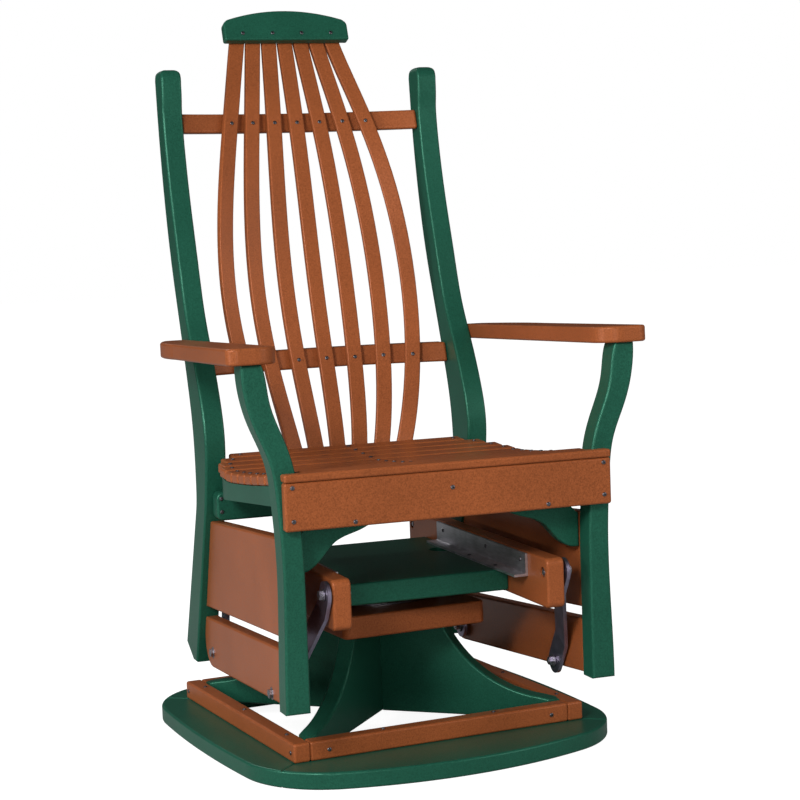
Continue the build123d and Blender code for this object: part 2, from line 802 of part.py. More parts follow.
def seat_top_z(y):
    """Height of the dished seat at this depth."""
    if y < seat_low_y:
        return seat_low_z + seat_front_rise * ((seat_low_y - y) / seat_front_run) ** dish_power
    return seat_low_z + seat_rear_rise * ((y - seat_low_y) / seat_rear_run) ** dish_power


def seat_slope(y):
    """Slope of the dished seat at this depth, in degrees."""
    step = slat_pitch / 2
    return degrees(atan((seat_top_z(y + step) - seat_top_z(y - step)) / (2 * step)))


def seat_half_length(y):
    """Half length of a seat slat; the seat is rounded at its rear corners."""
    if y < leg_rear_y + slat_pitch / 2:
        return leg_inner_x - seam
    if y < seat_round_y:
        return seat_half_width
    return seat_half_width - seat_round_radius + sqrt(seat_round_radius ** 2 - (y - seat_round_y) ** 2)


def seat_slat_rows():
    """Middles of the seat slats from the rear to the front."""
    return [rear_slat_y - row * slat_pitch for row in range(slat_count)]


def seat_slats():
    """Front board and the row of seat slats that follow the dish."""
    slats = [nosing()]
    for y in seat_slat_rows():
        size = (2 * seat_half_length(y), slat_pitch - slat_gap, slat_thickness)
        slat = fillet(Box(*size).edges(), edge_round)
        lean = Rot(seat_slope(y), 0, 0) * Pos(0, 0, -slat_thickness / 2)
        slats.append(Pos(0, y, seat_top_z(y)) * lean * slat)
    return slats


def support_profile(front_y, rear_y, front_low_z):
    """Side outline of a seat support under the slats."""
    under = slat_thickness + slat_bed_gap
    count = 17
    rows = [front_y + (rear_y - front_y) * step / (count - 1) for step in range(count)]
    top = [(y, seat_top_z(y) - under) for y in rows]
    low_rear = (rear_y, support_bottom_z)
    level = (support_level_y, support_bottom_z)
    low_front = (front_y, front_low_z)
    return make_face([Spline(*top), Line(top[-1], low_rear), Line(low_rear, level),
                      Line(level, low_front), Line(low_front, top[0])])


def side_support():
    """Right seat support; it curves inwards at the rear and stands on the rear rail."""
    middle_x = seat_half_width - support_overhang - support_thickness / 2
    radius = seat_round_radius - support_overhang - support_thickness / 2
    front_y = leg_rear_y + seam
    sweep = degrees(asin((support_rear_y - seat_round_y) / radius))
    start = (middle_x, seat_round_y)
    line = Line((middle_x, front_y), start)
    bend = CenterArc((middle_x - radius, seat_round_y), radius, 0, sweep)
    plan = trace([line, bend], support_thickness)
    height = seat_top_z(front_y)
    column = extrude(plan, height)
    reach = support_rear_y + support_thickness
    profile = support_profile(front_y - support_thickness, reach, support_bottom_z + support_front_rise)
    return column & extrude(side_plane(0) * profile, seat_half_width)


def centre_support():
    """Straight seat support in the middle, from the apron to the rear rail."""
    front_y = apron_rear_y + seam
    profile = support_profile(front_y, support_rear_y, support_bottom_z + support_front_rise)
    room = seat_top_z(front_y) - nosing_top_z + nosing_thickness + seam
    notch = Rectangle(2 * (nosing_rear_y - front_y + seam), 2 * room)
    trimmed = profile - Pos(front_y, seat_top_z(front_y)) * notch
    return side_plane(-support_thickness / 2) * extrude(trimmed, support_thickness)


def rear_rail():
    """Cross rail that stands against the rear posts and carries the supports."""
    rear_y = support_rear_y
    half = post_inner_x + rear_rail_lap
    outline = Pos(0, support_bottom_z - rear_rail_height / 2) * RectangleRounded(
        2 * half, rear_rail_height, rear_rail_round)
    return front_plane(rear_y) * board(outline, rear_rail_depth, edge_round)


def apron():
    """Board across the front of the legs."""
    height = apron_top_z - apron_bottom_z
    outline = Pos(0, apron_bottom_z + height / 2) * RectangleRounded(
        2 * apron_half_width, height, edge_round)
    return front_plane(apron_rear_y) * board(outline, apron_thickness, edge_round)


def nosing():
    """Front seat board over the apron, notched round the legs."""
    front_y = apron_front_y - nosing_overhang
    notch_x = leg_inner_x - seam
    notch_y = leg_front_y - seam
    half = apron_half_width
    outline = Polygon((-half, front_y), (half, front_y), (half, notch_y), (notch_x, notch_y),
                      (notch_x, nosing_rear_y), (-notch_x, nosing_rear_y), (-notch_x, notch_y),
                      (-half, notch_y), align=None)
    outline = fillet(outline.vertices().sort_by(Axis.Y)[:2], edge_round)
    return Pos(0, 0, nosing_top_z - nosing_thickness) * board(outline, nosing_thickness, edge_round)


def bracket():
    """Right corner bracket between the leg and the underside of the seat."""
    outer_x = panel_inner_x(leg_rear_y + bracket_thickness) - seam
    inner_x = leg_inner_x - bracket_reach
    top_z = bracket_foot_z + bracket_height
    low = [(inner_x + (outer_x - inner_x) * x, bracket_foot_z + bracket_height * z)
           for x, z in bracket_shares]
    foot = (outer_x, bracket_foot_z)
    inner_top = (inner_x, top_z)
    outer_top = (outer_x, top_z)
    outline = make_face([Spline(foot, *low), Line(low[-1], inner_top), Line(inner_top, outer_top),
                         Line(outer_top, foot)])
    rear_y = leg_rear_y + seam + bracket_thickness
    solid = front_plane(rear_y) * board(outline, bracket_thickness, edge_round)
    cutter_side = bracket_corner * sqrt(2)
    cutter = Box(cutter_side, 4 * bracket_thickness, cutter_side)
    return solid - Pos(outer_x, rear_y, top_z) * Rot(0, 45, 0) * cutter


def armrest():
    """Right armrest, sloping down to the rear."""
    inner_x = post_outer_x + seam
    rear_outer = (inner_x + armrest_rear_reach, armrest_rear_y)
    taper = (leg_inner_x + armrest_taper_offset, armrest_taper_y)
    bulge = ((rear_outer[0] + taper[0]) / 2 + armrest_thickness / 2, (rear_outer[1] + taper[1]) / 2)
    outer_front = (armrest_outer_x, armrest_front_y)
    inner_front = (leg_inner_x + armrest_inner_offset, armrest_front_y)
    inner_rear = (inner_x, armrest_rear_y)
    outline = make_face([
        Line(inner_rear, rear_outer),
        ThreePointArc(rear_outer, bulge, taper),
        Line(taper, outer_front),
        Line(outer_front, inner_front),
        Line(inner_front, inner_rear),
    ])
    corners = outline.vertices()
    outline = fillet(corners.sort_by_distance((*outer_front, 0))[0], armrest_outer_round)
    corners = outline.vertices()
    outline = fillet(corners.sort_by_distance((*inner_front, 0))[0], armrest_inner_round)
    corners = outline.vertices()
    outline = fillet(corners.sort_by_distance((*rear_outer, 0))[0], armrest_outer_round)
    solid = Pos(0, -armrest_front_y, 0) * board(outline, armrest_thickness, edge_round)
    return armrest_plane() * solid


# Back

back_stations = (
    (back_seat_z, back_seat_y, back_seat_pitch, back_seat_bow),
    (lower_rail_z, lower_rail_y, lower_rail_pitch, lower_rail_bow),
    (back_middle_z, back_middle_y, back_middle_pitch, back_middle_bow),
    (upper_rail_z, upper_rail_y, upper_rail_pitch, upper_rail_bow),
    (crown_z, crown_y, crown_pitch, 0),
)


def back_lean(low, high):
    """Lean of the back between two stations, in degrees."""
    return degrees(atan2(high[1] - low[1], high[0] - low[0]))


crown_lean = back_lean(back_stations[3], back_stations[4])
lower_rail_lean = back_lean(back_stations[0], back_stations[2])
upper_rail_lean = back_lean(back_stations[2], back_stations[4])
top_station_z = crown_z + crown_slat_depth * cos(radians(crown_lean))
top_station_y = crown_y + crown_slat_depth * sin(radians(crown_lean))


def slat_front(number, station):
    """Front middle of a numbered slat at a station; number 0 is the middle slat."""
    z, y, pitch, bow = station
    x = number * pitch
    return x, y - bow * (x / back_bow_half) ** 2, z


def back_slat(number):
    """One back slat, lofted through the stations and turned to face along the bow."""
    narrowing = (upper_rail_pitch - crown_pitch) / (crown_z - upper_rail_z)
    top_pitch = crown_pitch - narrowing * (top_station_z - crown_z)
    top = (top_station_z, top_station_y, top_pitch, 0)
    stations = back_stations + (top,)
    points = [slat_front(number, station) for station in stations]
    sections = []
    for index, station in enumerate(stations):
        before = points[max(index - 1, 0)]
        after = points[min(index + 1, len(points) - 1)]
        along = [high - low for low, high in zip(before, after)]
        x = points[index][0]
        across = (1, -2 * station[3] * x / back_bow_half ** 2, 0)
        plane = Plane(origin=points[index], x_dir=across, z_dir=along)
        outline = Rectangle(back_slat_width, back_slat_thickness, align=(Align.CENTER, Align.MIN))
        sections.append(plane * fillet(outline.vertices(), thin_round))
    return loft(sections)


def back_rail(station, lean):
    """Bowed rail behind the slats between the rear posts."""
    z, y, _, bow = station
    half = post_inner_x - back_rail_end_gap
    end_turn = atan(2 * bow / back_bow_half)
    turned_thickness = back_slat_thickness / cos(end_turn)
    end_bow = bow * (half / back_bow_half) ** 2 - (turned_thickness - back_slat_thickness)
    rise = back_rail_height / 2
    start_y = y + back_slat_thickness / cos(radians(lean)) + slat_seat_gap - rise * tan(radians(lean))
    rear_y = start_y + back_rail_depth
    outline = make_face([
        ThreePointArc((-half, start_y - end_bow), (0, start_y), (half, start_y - end_bow)),
        Line((half, start_y - end_bow), (half, rear_y - end_bow)),
        ThreePointArc((half, rear_y - end_bow), (0, rear_y), (-half, rear_y - end_bow)),
        Line((-half, rear_y - end_bow), (-half, start_y - end_bow)),
    ])
    lean_way = (0, sin(radians(lean)), cos(radians(lean)))
    solid = extrude(outline, back_rail_height / cos(radians(lean)), dir=lean_way)
    return Pos(0, 0, z - rise) * fillet(solid.edges(), edge_round)


def crown_plane():
    """Plane on the front of the slats at the crown, with Y up along the slats."""
    lean = radians(crown_lean)
    return Plane(origin=(0, crown_y, crown_z), x_dir=(1, 0, 0), z_dir=(0, -cos(lean), sin(lean)))


def crown():
    """Arched board across the front of the slat tops."""
    corner = (crown_corner_x, crown_corner_height)
    outline = make_face([
        Line((-crown_half_width, 0), (crown_half_width, 0)),
        Line((crown_half_width, 0), (crown_half_width, crown_end_height)),
        Line((crown_half_width, crown_end_height), corner),
        ThreePointArc(corner, (0, crown_height), (-corner[0], corner[1])),
        Line((-corner[0], corner[1]), (-crown_half_width, crown_end_height)),
        Line((-crown_half_width, crown_end_height), (-crown_half_width, 0)),
    ])
    ends = outline.vertices().filter_by_position(Axis.Y, crown_end_height, crown_corner_height)
    outline = fillet(ends, crown_round)
    outline = fillet(outline.vertices().sort_by(Axis.Y)[:2], edge_round)
    return crown_plane() * Pos(0, 0, seam) * board(outline, crown_thickness, edge_round)


def seat_pieces():
    """All pieces that glide together."""
    pieces = {}
    right_pieces = {
        "front_leg": leg(),
        "rear_post": post(),
        "upper_side_panel": panel(upper_panel_top_z, upper_panel_height, 0),
        "lower_side_panel": panel_with_bores(
            panel(lower_panel_top_z, lower_panel_height, lower_panel_round)),
        "seat_support": side_support(),
        "corner_bracket": bracket(),
        "armrest": armrest(),
    }
    for name, solid in right_pieces.items():
        pieces[name + "_right"] = solid
        pieces[name + "_left"] = mirrored(solid)
    pieces["seat_support_centre"] = centre_support()
    pieces["rear_cross_rail"] = rear_rail()
    pieces["apron"] = apron()
    pieces["upper_back_rail"] = back_rail(back_stations[3], upper_rail_lean)
    pieces["lower_back_rail"] = back_rail(back_stations[1], lower_rail_lean)
    pieces["crown_rail"] = crown()
    for number in range(-back_slats_each_side, back_slats_each_side + 1):
        pieces["back_slat_%d" % (number + back_slats_each_side + 1)] = back_slat(number)
    return pieces


def fasten_seat(pieces, slats):
    """Drive the screws of the seat body."""
    screws = []
    for side, name in ((-1, "left"), (1, "right")):
        for z in (apron_screw_low_z, apron_screw_high_z):
            place = facing((side * (leg_inner_x + apron_screw_offset), apron_front_y, z), (0, -1, 0))
            drive(pieces, ("apron", "front_leg_" + name), [place], screws)
        bracket_screw_x = side * (leg_inner_x - apron_bracket_screw_inset)
        place = facing((bracket_screw_x, apron_front_y, apron_bracket_screw_z), (0, -1, 0))
        drive(pieces, ("apron",), [place], screws)
        rail_face_y = support_rear_y - rear_rail_depth
        high_z = support_bottom_z - rear_rail_screw_rise
        for z in (high_z, high_z - rear_rail_screw_pitch):
            place = facing((side * (post_inner_x + rear_rail_screw_lap), rail_face_y, z), (0, -1, 0))
            drive(pieces, ("rear_cross_rail", "rear_post_" + name), [place], screws)
    place = facing((0, apron_front_y, apron_centre_screw_z), (0, -1, 0))
    drive(pieces, ("apron", "seat_support_centre"), [place], screws)
    for index, y in enumerate(seat_slat_rows()):
        middle = seat_half_length(y) - support_overhang - support_thickness / 2
        if y < leg_rear_y + slat_pitch / 2:
            middle = seat_half_width - support_overhang - support_thickness
        slope = radians(seat_slope(y))
        normal = (0, -sin(slope), cos(slope))
        for x, name in ((-middle, "left"), (0, "centre"), (middle, "right")):
            place = facing((x, y, seat_top_z(y)), normal)
            screws.append(screw(place))
            slats[index + 1] = slats[index + 1] - screw_hole(place)
            support = "seat_support_" + name
            pieces[support] = pieces[support] - screw_hole(place)
    rails = ((back_stations[1], lower_rail_lean, "lower_back_rail"),
             (back_stations[3], upper_rail_lean, "upper_back_rail"))
    for station, lean, rail in rails:
        for number in range(-back_slats_each_side, back_slats_each_side + 1):
            point = slat_front(number, station)
            turn = 2 * station[3] * point[0] / back_bow_half ** 2
            normal = (-turn, -1, tan(radians(lean)))
            slat = "back_slat_%d" % (number + back_slats_each_side + 1)
            drive(pieces, (slat, rail), [facing(point, normal)], screws)
    lean = radians(crown_lean)
    up = (sin(lean), cos(lean))
    normal = (0, -cos(lean), sin(lean))
    rise = crown_height * crown_screw_share
    face = crown_thickness + seam
    for x in (-crown_screw_x, -crown_inner_screw_x, crown_inner_screw_x, crown_screw_x):
        y = crown_y + up[0] * rise - face * cos(lean)
        z = crown_z + up[1] * rise + face * sin(lean)
        slat = "back_slat_%d" % (round(x / crown_pitch) + back_slats_each_side + 1)
        drive(pieces, ("crown_rail", slat), [facing((x, y, z), normal)], screws)
    return screws


def export(name, shape, turn=0):
    """Write one node to its own file."""
    solids = shape if isinstance(shape, list) else [shape]
    solids = [single for solid in solids for single in solid.solids()]
    group = Compound(label=name, children=[Rot(0, 0, turn) * solid for solid in solids])
    export_step(group, "parts/" + name + ".step")


def build():
    """Build and write every node."""
    for name, shape in base_pieces().items():
        export(name, shape, base_turn)
    for name, shape in swivel_frame_pieces().items():
        export(name, shape)
    for front, place in ((True, "front"), (False, "rear")):
        solid, bushings = arm_pieces(front)
        export("arm_" + place + "_right", solid)
        export("arm_" + place + "_left", mirrored(solid))
        export("bushings_" + place + "_right", bushings)
        export("bushings_" + place + "_left", [mirrored(bushing) for bushing in bushings])
    pieces = seat_pieces()
    slats = seat_slats()
    screws = fasten_seat(pieces, slats)
    for name, shape in pieces.items():
        export(name, shape)
    export("seat_slats", slats)
    export("seat_screws", screws)
    export("lower_pivot_bolts", lower_pivot_hardware())


build()
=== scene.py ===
import json
import math

import bmesh
import bpy
from bpy.props import FloatProperty, FloatVectorProperty, IntProperty, PointerProperty
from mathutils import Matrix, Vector

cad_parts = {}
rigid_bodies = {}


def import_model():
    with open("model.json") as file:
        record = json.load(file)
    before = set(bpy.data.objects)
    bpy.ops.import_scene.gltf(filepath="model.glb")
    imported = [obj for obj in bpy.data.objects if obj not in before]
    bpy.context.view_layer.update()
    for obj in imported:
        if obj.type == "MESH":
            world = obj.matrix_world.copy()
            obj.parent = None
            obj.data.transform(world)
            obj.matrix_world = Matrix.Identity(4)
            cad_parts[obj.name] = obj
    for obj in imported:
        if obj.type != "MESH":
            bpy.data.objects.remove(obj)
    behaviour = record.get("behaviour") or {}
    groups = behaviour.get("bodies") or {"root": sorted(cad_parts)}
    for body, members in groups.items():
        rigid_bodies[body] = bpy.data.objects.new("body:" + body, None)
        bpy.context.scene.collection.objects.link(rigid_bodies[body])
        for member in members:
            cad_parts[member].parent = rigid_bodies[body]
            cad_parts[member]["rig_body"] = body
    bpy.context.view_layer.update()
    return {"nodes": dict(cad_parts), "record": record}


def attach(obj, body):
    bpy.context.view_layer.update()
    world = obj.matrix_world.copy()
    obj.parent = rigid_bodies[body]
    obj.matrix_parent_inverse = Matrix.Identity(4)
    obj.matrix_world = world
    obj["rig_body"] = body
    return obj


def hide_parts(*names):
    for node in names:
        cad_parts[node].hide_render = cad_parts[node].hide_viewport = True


bl_info = {
    "name": "Glider Chair",
    "version": (1, 0, 0),
    "blender": (4, 5, 0),
    "location": "View3D > Sidebar > Glider Chair",
    "description": "Dresses a swivel glider chair of plastic lumber and sets its studio stage",
    "category": "Object",
}

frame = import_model()

# The record slot of each CAD node
SLOT_OF = {row["node"]: row["material_slot"] for row in frame["record"]["subparts"]}

WHITE = (1, 1, 1, 1)

# Sockets of nodes whose inputs and outputs share a name
MIX_FIRST_COLOUR = 6
MIX_SECOND_COLOUR = 7
MIX_COLOUR_RESULT = 2
COMPARE_FIRST_INTEGER = 2
COMPARE_SECOND_INTEGER = 3
RANDOM_FLOAT = 1

# Middle band of a noise, where most of its values lie
NOISE_LOW = 0.3
NOISE_MIDDLE = 0.5
NOISE_HIGH = 0.7

# Plastic lumber: how far the peel and the melt shade the colour, and how the skin shines
PEEL_DARK = 0.7
PEEL_LIGHT = 1.24
PEEL_HEIGHT = 0.0003
PEEL_STRENGTH = 0.22
FLECK_TO_PEEL = 1.6
TONE_DARK = 0.84
BOARD_SMOOTHER = 0.06
BOARD_ROUGHER = 0.08
BOARD_IOR = 1.52
BOARD_SPECULAR = 0.5
UNTINTED_GLOSS = 0.25

# Bare metal: streaks of rolling, brushing or turning, and smudges in millimetres
STREAK_DARK = 0.78
STREAK_LIGHT = 1.12
STREAK_HEIGHT = 0.0001
STREAK_STRENGTH = 0.2
METAL_SMOOTHER = 0.05
METAL_ROUGHER = 0.08
SMUDGE_SIZE = 35
SMUDGE_DARK = 0.82
SMUDGE_LOW = 0.35
SMUDGE_HIGH = 0.6

# Nylon: waxy mottle in millimetres
WAX_SIZE = 3
WAX_DARK = 0.8
WAX_LIGHT = 1.3
NYLON_ROUGHNESS = 0.45

# Screws of the CAD model, in metres
WELD_DISTANCE = 0.00002
TIP_ZONE = 0.004
HEAD_ZONE = 0.0022
HEAD_DEPTH = 0.0016

# Visible screws: the shank in metres, the turn in radians, shares of the head's radius or dome
SHANK_LENGTH = 0.026
SHANK_SHARE = 0.5
HEAD_OUTLINE = ((1.0, 0.0), (1.0, 0.35), (0.86, 0.8), (0.62, 1.0))
DRIVE_SHARE = 0.42
DRIVE_DEPTH_SHARE = 0.8
DRIVE_TAPER = 0.85
DRIVE_MATERIAL = 1
FURTHEST_TURN = 1.57
TURN_SEED = 7

# Studio: the floor sheet lies just under the ring, and most lamps aim at the chair's middle
FLOOR_Z = -0.0005
PAPER_GREY = (0.34, 0.34, 0.34, 1)
PAPER_GLOW = 0.9
ROOM_LIGHT = 0.46
ROOM_LIGHT_IN_GLOSS = 0.03
CHAIR_MIDDLE = (0, 0, 0.6)
CAMERA_PLACE = (-1.1158, -3.2991, 0.8855)
CAMERA_TURN_DEGREES = (84.722, 2.118, -19.843)
CAMERA_LENS = 91.79
CAMERA_SENSOR = 36
CAMERA_REACH = 200


def nodes_of(slot_name):
    """CAD nodes that take their finish from one record slot."""
    return sorted(node for node, slot in SLOT_OF.items() if slot == slot_name)


def linear(hex_colour):
    """sRGB hex colour as linear RGBA."""
    values = [int(hex_colour[i:i + 2], 16) / 255 for i in (1, 3, 5)]
    turned = [v / 12.92 if v <= 0.04045 else ((v + 0.055) / 1.055) ** 2.4 for v in values]
    return (*turned, 1.0)


def shade(colour, factor):
    """The same colour, darker or lighter by a factor."""
    return (*(min(1.0, c * factor) for c in colour[:3]), 1.0)


# Materials

def add_node(tree, kind, settings=None, inputs=None):
    """One node with its settings, its input values and its incoming links."""
    node = tree.nodes.new(kind)
    for name, value in (settings or {}).items():
        setattr(node, name, value)
    for name, value in (inputs or {}).items():
        if isinstance(value, bpy.types.NodeSocket):
            tree.links.new(value, node.inputs[name])
        else:
            node.inputs[name].default_value = value
    return node


def new_material(name):
    """An empty node material and its shader."""
    material = bpy.data.materials.new(name)
    material.use_nodes = True
    tree = material.node_tree
    tree.nodes.clear()
    shader = add_node(tree, "ShaderNodeBsdfPrincipled")
    add_node(tree, "ShaderNodeOutputMaterial", inputs={"Surface": shader.outputs[0]})
    return material, tree, shader


def ramp(tree, factor, stops):
    """A colour ramp with these stops over a factor."""
    node = add_node(tree, "ShaderNodeValToRGB", inputs={"Fac": factor})
    band = node.color_ramp
    while len(band.elements) < len(stops):
        band.elements.new(0.5)
    for element, (place, colour) in zip(band.elements, stops):
        element.position = place
        element.color = colour
    return node.outputs["Color"]


def object_place(tree):
    """Position on the object, in metres."""
    return add_node(tree, "ShaderNodeTexCoord").outputs["Object"]


def per_metre(millimetres):
    """Texture scale whose features are this large."""
    return 1000 / millimetres


def noise(tree, place, size, detail, roughness=0.5):
    """Noise with features of a size in millimetres."""
    return add_node(tree, "ShaderNodeTexNoise", {"noise_dimensions": "3D"},
                    {"Vector": place, "Scale": per_metre(size), "Detail": detail,
                     "Roughness": roughness}).outputs[0]


def multiplied(tree, first, second):
    """Two colours multiplied."""
    mix = add_node(tree, "ShaderNodeMix", {"data_type": "RGBA", "blend_type": "MULTIPLY"},
                   {"Factor": 1.0, MIX_FIRST_COLOUR: first, MIX_SECOND_COLOUR: second})
    return mix.outputs[MIX_COLOUR_RESULT]


def spread(tree, value, low, high):
    """A noise stretched between two limits."""
    return add_node(tree, "ShaderNodeMapRange", inputs={
        "Value": value, "From Min": NOISE_LOW, "From Max": NOISE_HIGH,
        "To Min": low, "To Max": high}).outputs[0]


def bump(tree, height, strength, distance):
    """Surface normals that follow a height."""
    return add_node(tree, "ShaderNodeBump", inputs={
        "Strength": strength, "Distance": distance, "Height": height}).outputs[0]


def plastic_lumber(name, colour, look):
    """Solid-coloured polyethylene board: satin, with the fine orange peel of its planed skin."""
    material, tree, shader = new_material(name)
    place = object_place(tree)
    # Cells of the peel are about 2 mm across, and the tone of the melt changes about every 150 mm
    peel = noise(tree, place, look.peel_size, 3.0, 0.6)
    tone = noise(tree, place, look.tone_size, 2.0)
    fleck = add_node(tree, "ShaderNodeTexVoronoi", {"feature": "F1"},
                     {"Vector": place, "Scale": per_metre(look.peel_size * FLECK_TO_PEEL)})
    skin = ramp(tree, peel, [(NOISE_LOW, shade(colour, PEEL_DARK)), (NOISE_MIDDLE, colour),
                             (NOISE_HIGH, shade(colour, PEEL_LIGHT))])
    broad = ramp(tree, tone, [(NOISE_LOW, shade(WHITE, TONE_DARK)), (NOISE_HIGH, WHITE)])
    tree.links.new(multiplied(tree, skin, broad), shader.inputs["Base Color"])
    rough = spread(tree, peel, look.board_roughness - BOARD_SMOOTHER,
                   look.board_roughness + BOARD_ROUGHER)
    tree.links.new(rough, shader.inputs["Roughness"])
    height = add_node(tree, "ShaderNodeMath", {"operation": "ADD"},
                      {0: peel, 1: fleck.outputs["Distance"]}).outputs[0]
    tree.links.new(bump(tree, height, PEEL_STRENGTH, PEEL_HEIGHT), shader.inputs["Normal"])
    shader.inputs["IOR"].default_value = BOARD_IOR
    shader.inputs["Specular IOR Level"].default_value = BOARD_SPECULAR
    # The coloured skin tints its own highlights
    brightest = max(colour[:3])
    tinted = 1 - UNTINTED_GLOSS
    tint = [UNTINTED_GLOSS + tinted * channel / brightest for channel in colour[:3]]
    shader.inputs["Specular Tint"].default_value = (*tint, 1)
    return material


def brushed_metal(name, colour, roughness, stretch, streak_size):
    """Bare metal with rolling or brushing streaks along one direction."""
    material, tree, shader = new_material(name)
    place = object_place(tree)
    along = add_node(tree, "ShaderNodeMapping", inputs={"Vector": place, "Scale": stretch}).outputs[0]
    streak = noise(tree, along, streak_size, 4.0)
    cloud = noise(tree, place, SMUDGE_SIZE, 3.0)
    skin = ramp(tree, streak, [(NOISE_LOW, shade(colour, STREAK_DARK)),
                               (NOISE_HIGH, shade(colour, STREAK_LIGHT))])
    smudge = ramp(tree, cloud, [(SMUDGE_LOW, shade(WHITE, SMUDGE_DARK)), (SMUDGE_HIGH, WHITE)])
    tree.links.new(multiplied(tree, skin, smudge), shader.inputs["Base Color"])
    shader.inputs["Metallic"].default_value = 1.0
    rough = spread(tree, streak, roughness - METAL_SMOOTHER, roughness + METAL_ROUGHER)
    tree.links.new(rough, shader.inputs["Roughness"])
    tree.links.new(bump(tree, streak, STREAK_STRENGTH, STREAK_HEIGHT), shader.inputs["Normal"])
    return material


def moulded_nylon(name, colour):
    """Black nylon of the pivot bushings: smooth moulding with a faint waxy mottle."""
    material, tree, shader = new_material(name)
    wax = noise(tree, object_place(tree), WAX_SIZE, 2.0)
    skin = ramp(tree, wax, [(NOISE_LOW, shade(colour, WAX_DARK)),
                            (NOISE_HIGH, shade(colour, WAX_LIGHT))])
    tree.links.new(skin, shader.inputs["Base Color"])
    shader.inputs["Roughness"].default_value = NYLON_ROUGHNESS
    return material


def coat(nodes, material):
    """Give CAD nodes one material."""
    for node in nodes:
        mesh = frame["nodes"][node].data
        mesh.materials.clear()
        mesh.materials.append(material)


def look_of(context):
    """The user's settings."""
    return context.scene.glider_chair_look


# Settings

class GliderChairLook(bpy.types.PropertyGroup):
    """Colours and sizes a user would change."""
    green: FloatVectorProperty(name="Green boards", description="Colour of the green boards",
                               subtype="COLOR", size=4, min=0, max=1, default=linear("#1b4e3d"))
    cedar: FloatVectorProperty(name="Cedar boards", description="Colour of the brown boards",
                               subtype="COLOR", size=4, min=0, max=1, default=linear("#904e2a"))
    # Arm steel: the grey is the steel's own, the purple tinge is a painted reflection
    arm_steel: FloatVectorProperty(name="Arm steel", description="Colour of the swinging arms",
                                   subtype="COLOR", size=4, min=0, max=1, default=linear("#a99fb6"))
    aluminium: FloatVectorProperty(name="Aluminium", description="Colour of the deck angles",
                                   subtype="COLOR", size=4, min=0, max=1, default=linear("#d6d4da"))
    stainless: FloatVectorProperty(name="Stainless", description="Colour of screws and bolts",
                                   subtype="COLOR", size=4, min=0, max=1, default=linear("#77757a"))
    # Screw recess colour: painted shade, near-black painted into the drives where shade falls
    recess: FloatVectorProperty(name="Screw recess", description="Colour deep in the screw drives",
                                subtype="COLOR", size=4, min=0, max=1, default=linear("#151413"))
    peel_size: FloatProperty(name="Peel size", description="Cell size of the boards' orange peel, in mm",
                             default=2.2, min=0.5, max=10)
    tone_size: FloatProperty(name="Tone size", description="Distance between tone changes, in mm",
                             default=150, min=10, max=1000)
    board_roughness: FloatProperty(name="Board roughness", description="Roughness of the planed skin",
                                   default=0.34, min=0.1, max=0.9, subtype="FACTOR")
    screw_radius: FloatProperty(name="Screw head radius", description="Radius of the screw heads",
                                default=0.0035, min=0.001, max=0.01, unit="LENGTH")
    screw_dome: FloatProperty(name="Screw dome", description="Height of the screw heads",
                              default=0.0016, min=0.0005, max=0.005, unit="LENGTH")
    screw_sides: IntProperty(name="Screw sides", description="Sides of a screw head",
                             default=24, min=12, max=64)
    floor_size: FloatProperty(name="Floor size", description="Side of the floor sheet",
                              default=40, min=5, max=100, unit="LENGTH")


# Screws

def screw_pattern(look):
    """One screw along Z: a low domed head with a square drive recess, and its shank."""
    made = bmesh.new()
    radius, dome, sides = look.screw_radius, look.screw_dome, look.screw_sides
    recess = radius * DRIVE_SHARE
    depth = dome * DRIVE_DEPTH_SHARE
    shank = radius * SHANK_SHARE
    profile = [(shank, -SHANK_LENGTH), (shank, 0.0)]
    profile += [(radius * wide, dome * high) for wide, high in HEAD_OUTLINE]
    rings = []
    for ring_radius, z in profile:
        rings.append([made.verts.new((ring_radius * math.cos(2 * math.pi * i / sides),
                                      ring_radius * math.sin(2 * math.pi * i / sides), z))
                      for i in range(sides)])
    square = []
    for i in range(sides):
        angle = 2 * math.pi * i / sides
        reach = recess / max(abs(math.cos(angle)), abs(math.sin(angle)))
        square.append((reach * math.cos(angle), reach * math.sin(angle)))
    rings.append([made.verts.new((x, y, dome)) for x, y in square])
    rings.append([made.verts.new((x * DRIVE_TAPER, y * DRIVE_TAPER, dome - depth))
                  for x, y in square])
    for low, high in zip(rings, rings[1:]):
        for i in range(sides):
            after = (i + 1) % sides
            made.faces.new((low[i], low[after], high[after], high[i]))
    made.faces.new(list(reversed(rings[0])))
    made.faces.new(rings[-1])
    drive = set(rings[-1]) | set(rings[-2])
    for face in made.faces:
        if all(vert in drive for vert in face.verts):
            face.material_index = DRIVE_MATERIAL
    bmesh.ops.recalc_face_normals(made, faces=made.faces)
    mesh = bpy.data.meshes.new("screw_pattern")
    made.to_mesh(mesh)
    made.free()
    return mesh


